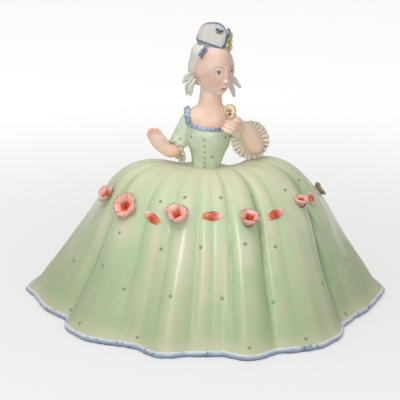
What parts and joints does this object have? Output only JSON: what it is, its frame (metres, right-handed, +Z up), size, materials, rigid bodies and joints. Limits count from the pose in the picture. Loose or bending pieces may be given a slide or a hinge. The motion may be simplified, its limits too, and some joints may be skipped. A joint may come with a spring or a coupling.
{
  "type": "ceramic lady figurine",
  "caption": "Free-standing glazed ceramic lady in a wide hollow crinoline skirt with a rose garland, fitted bodice, lace cuffs and a small three-cornered hat.",
  "frame": {"origin": "on the surface the figurine stands on, under the middle of the skirt's hem", "axes": "+Z up, -Y to the front of the skirt, +X to the viewer's right when the figurine is seen from the front"},
  "size_m": [0.3212, 0.3364, 0.2387],
  "materials": {
    "green_glaze": "pale green gloss glaze",
    "blue_glaze": "grey-blue satin glaze",
    "flesh_glaze": "flesh-coloured satin glaze",
    "white_glaze": "off-white satin glaze",
    "hat_glaze": "grey-white satin glaze",
    "lace_glaze": "cream satin glaze",
    "rose_glaze": "pink gloss glaze",
    "coral_glaze": "coral gloss glaze",
    "cream_glaze": "cream gloss glaze",
    "yellow_glaze": "yellow-green satin glaze"
  },
  "bodies": {
    "root": {"skirt_shell": "green_glaze", "bodice": "green_glaze", "right_sleeve": "green_glaze", "left_sleeve": "green_glaze", "hem_edging": "blue_glaze", "neckline_trim": "blue_glaze", "hat_edging": "blue_glaze", "hat_bow": "blue_glaze", "hair_ribbon": "blue_glaze", "neck_and_bust": "flesh_glaze", "head": "flesh_glaze", "right_forearm_and_hand": "flesh_glaze", "left_forearm_and_hand": "flesh_glaze", "hair": "white_glaze", "side_curl_1": "white_glaze", "side_curl_2": "white_glaze", "side_curl_3": "white_glaze", "side_curl_4": "white_glaze", "side_curl_5": "white_glaze", "hat": "hat_glaze", "right_cuff": "lace_glaze", "left_cuff": "lace_glaze", "skirt_rose_1": "rose_glaze", "skirt_rose_2": "rose_glaze", "skirt_rose_3": "rose_glaze", "skirt_rose_4": "rose_glaze", "skirt_rose_5": "rose_glaze", "skirt_rose_6": "rose_glaze", "skirt_rose_7": "rose_glaze", "skirt_rose_8": "rose_glaze", "skirt_rose_9": "rose_glaze", "ribbon_knot_1": "coral_glaze", "ribbon_knot_2": "coral_glaze", "ribbon_knot_3": "coral_glaze", "ribbon_knot_4": "coral_glaze", "ribbon_knot_5": "coral_glaze", "ribbon_knot_6": "coral_glaze", "ribbon_knot_7": "coral_glaze", "ribbon_knot_8": "coral_glaze", "held_rose": "cream_glaze", "hat_flower_1": "yellow_glaze", "hat_flower_2": "yellow_glaze", "hat_flower_3": "yellow_glaze"}
  },
  "joints": []
}
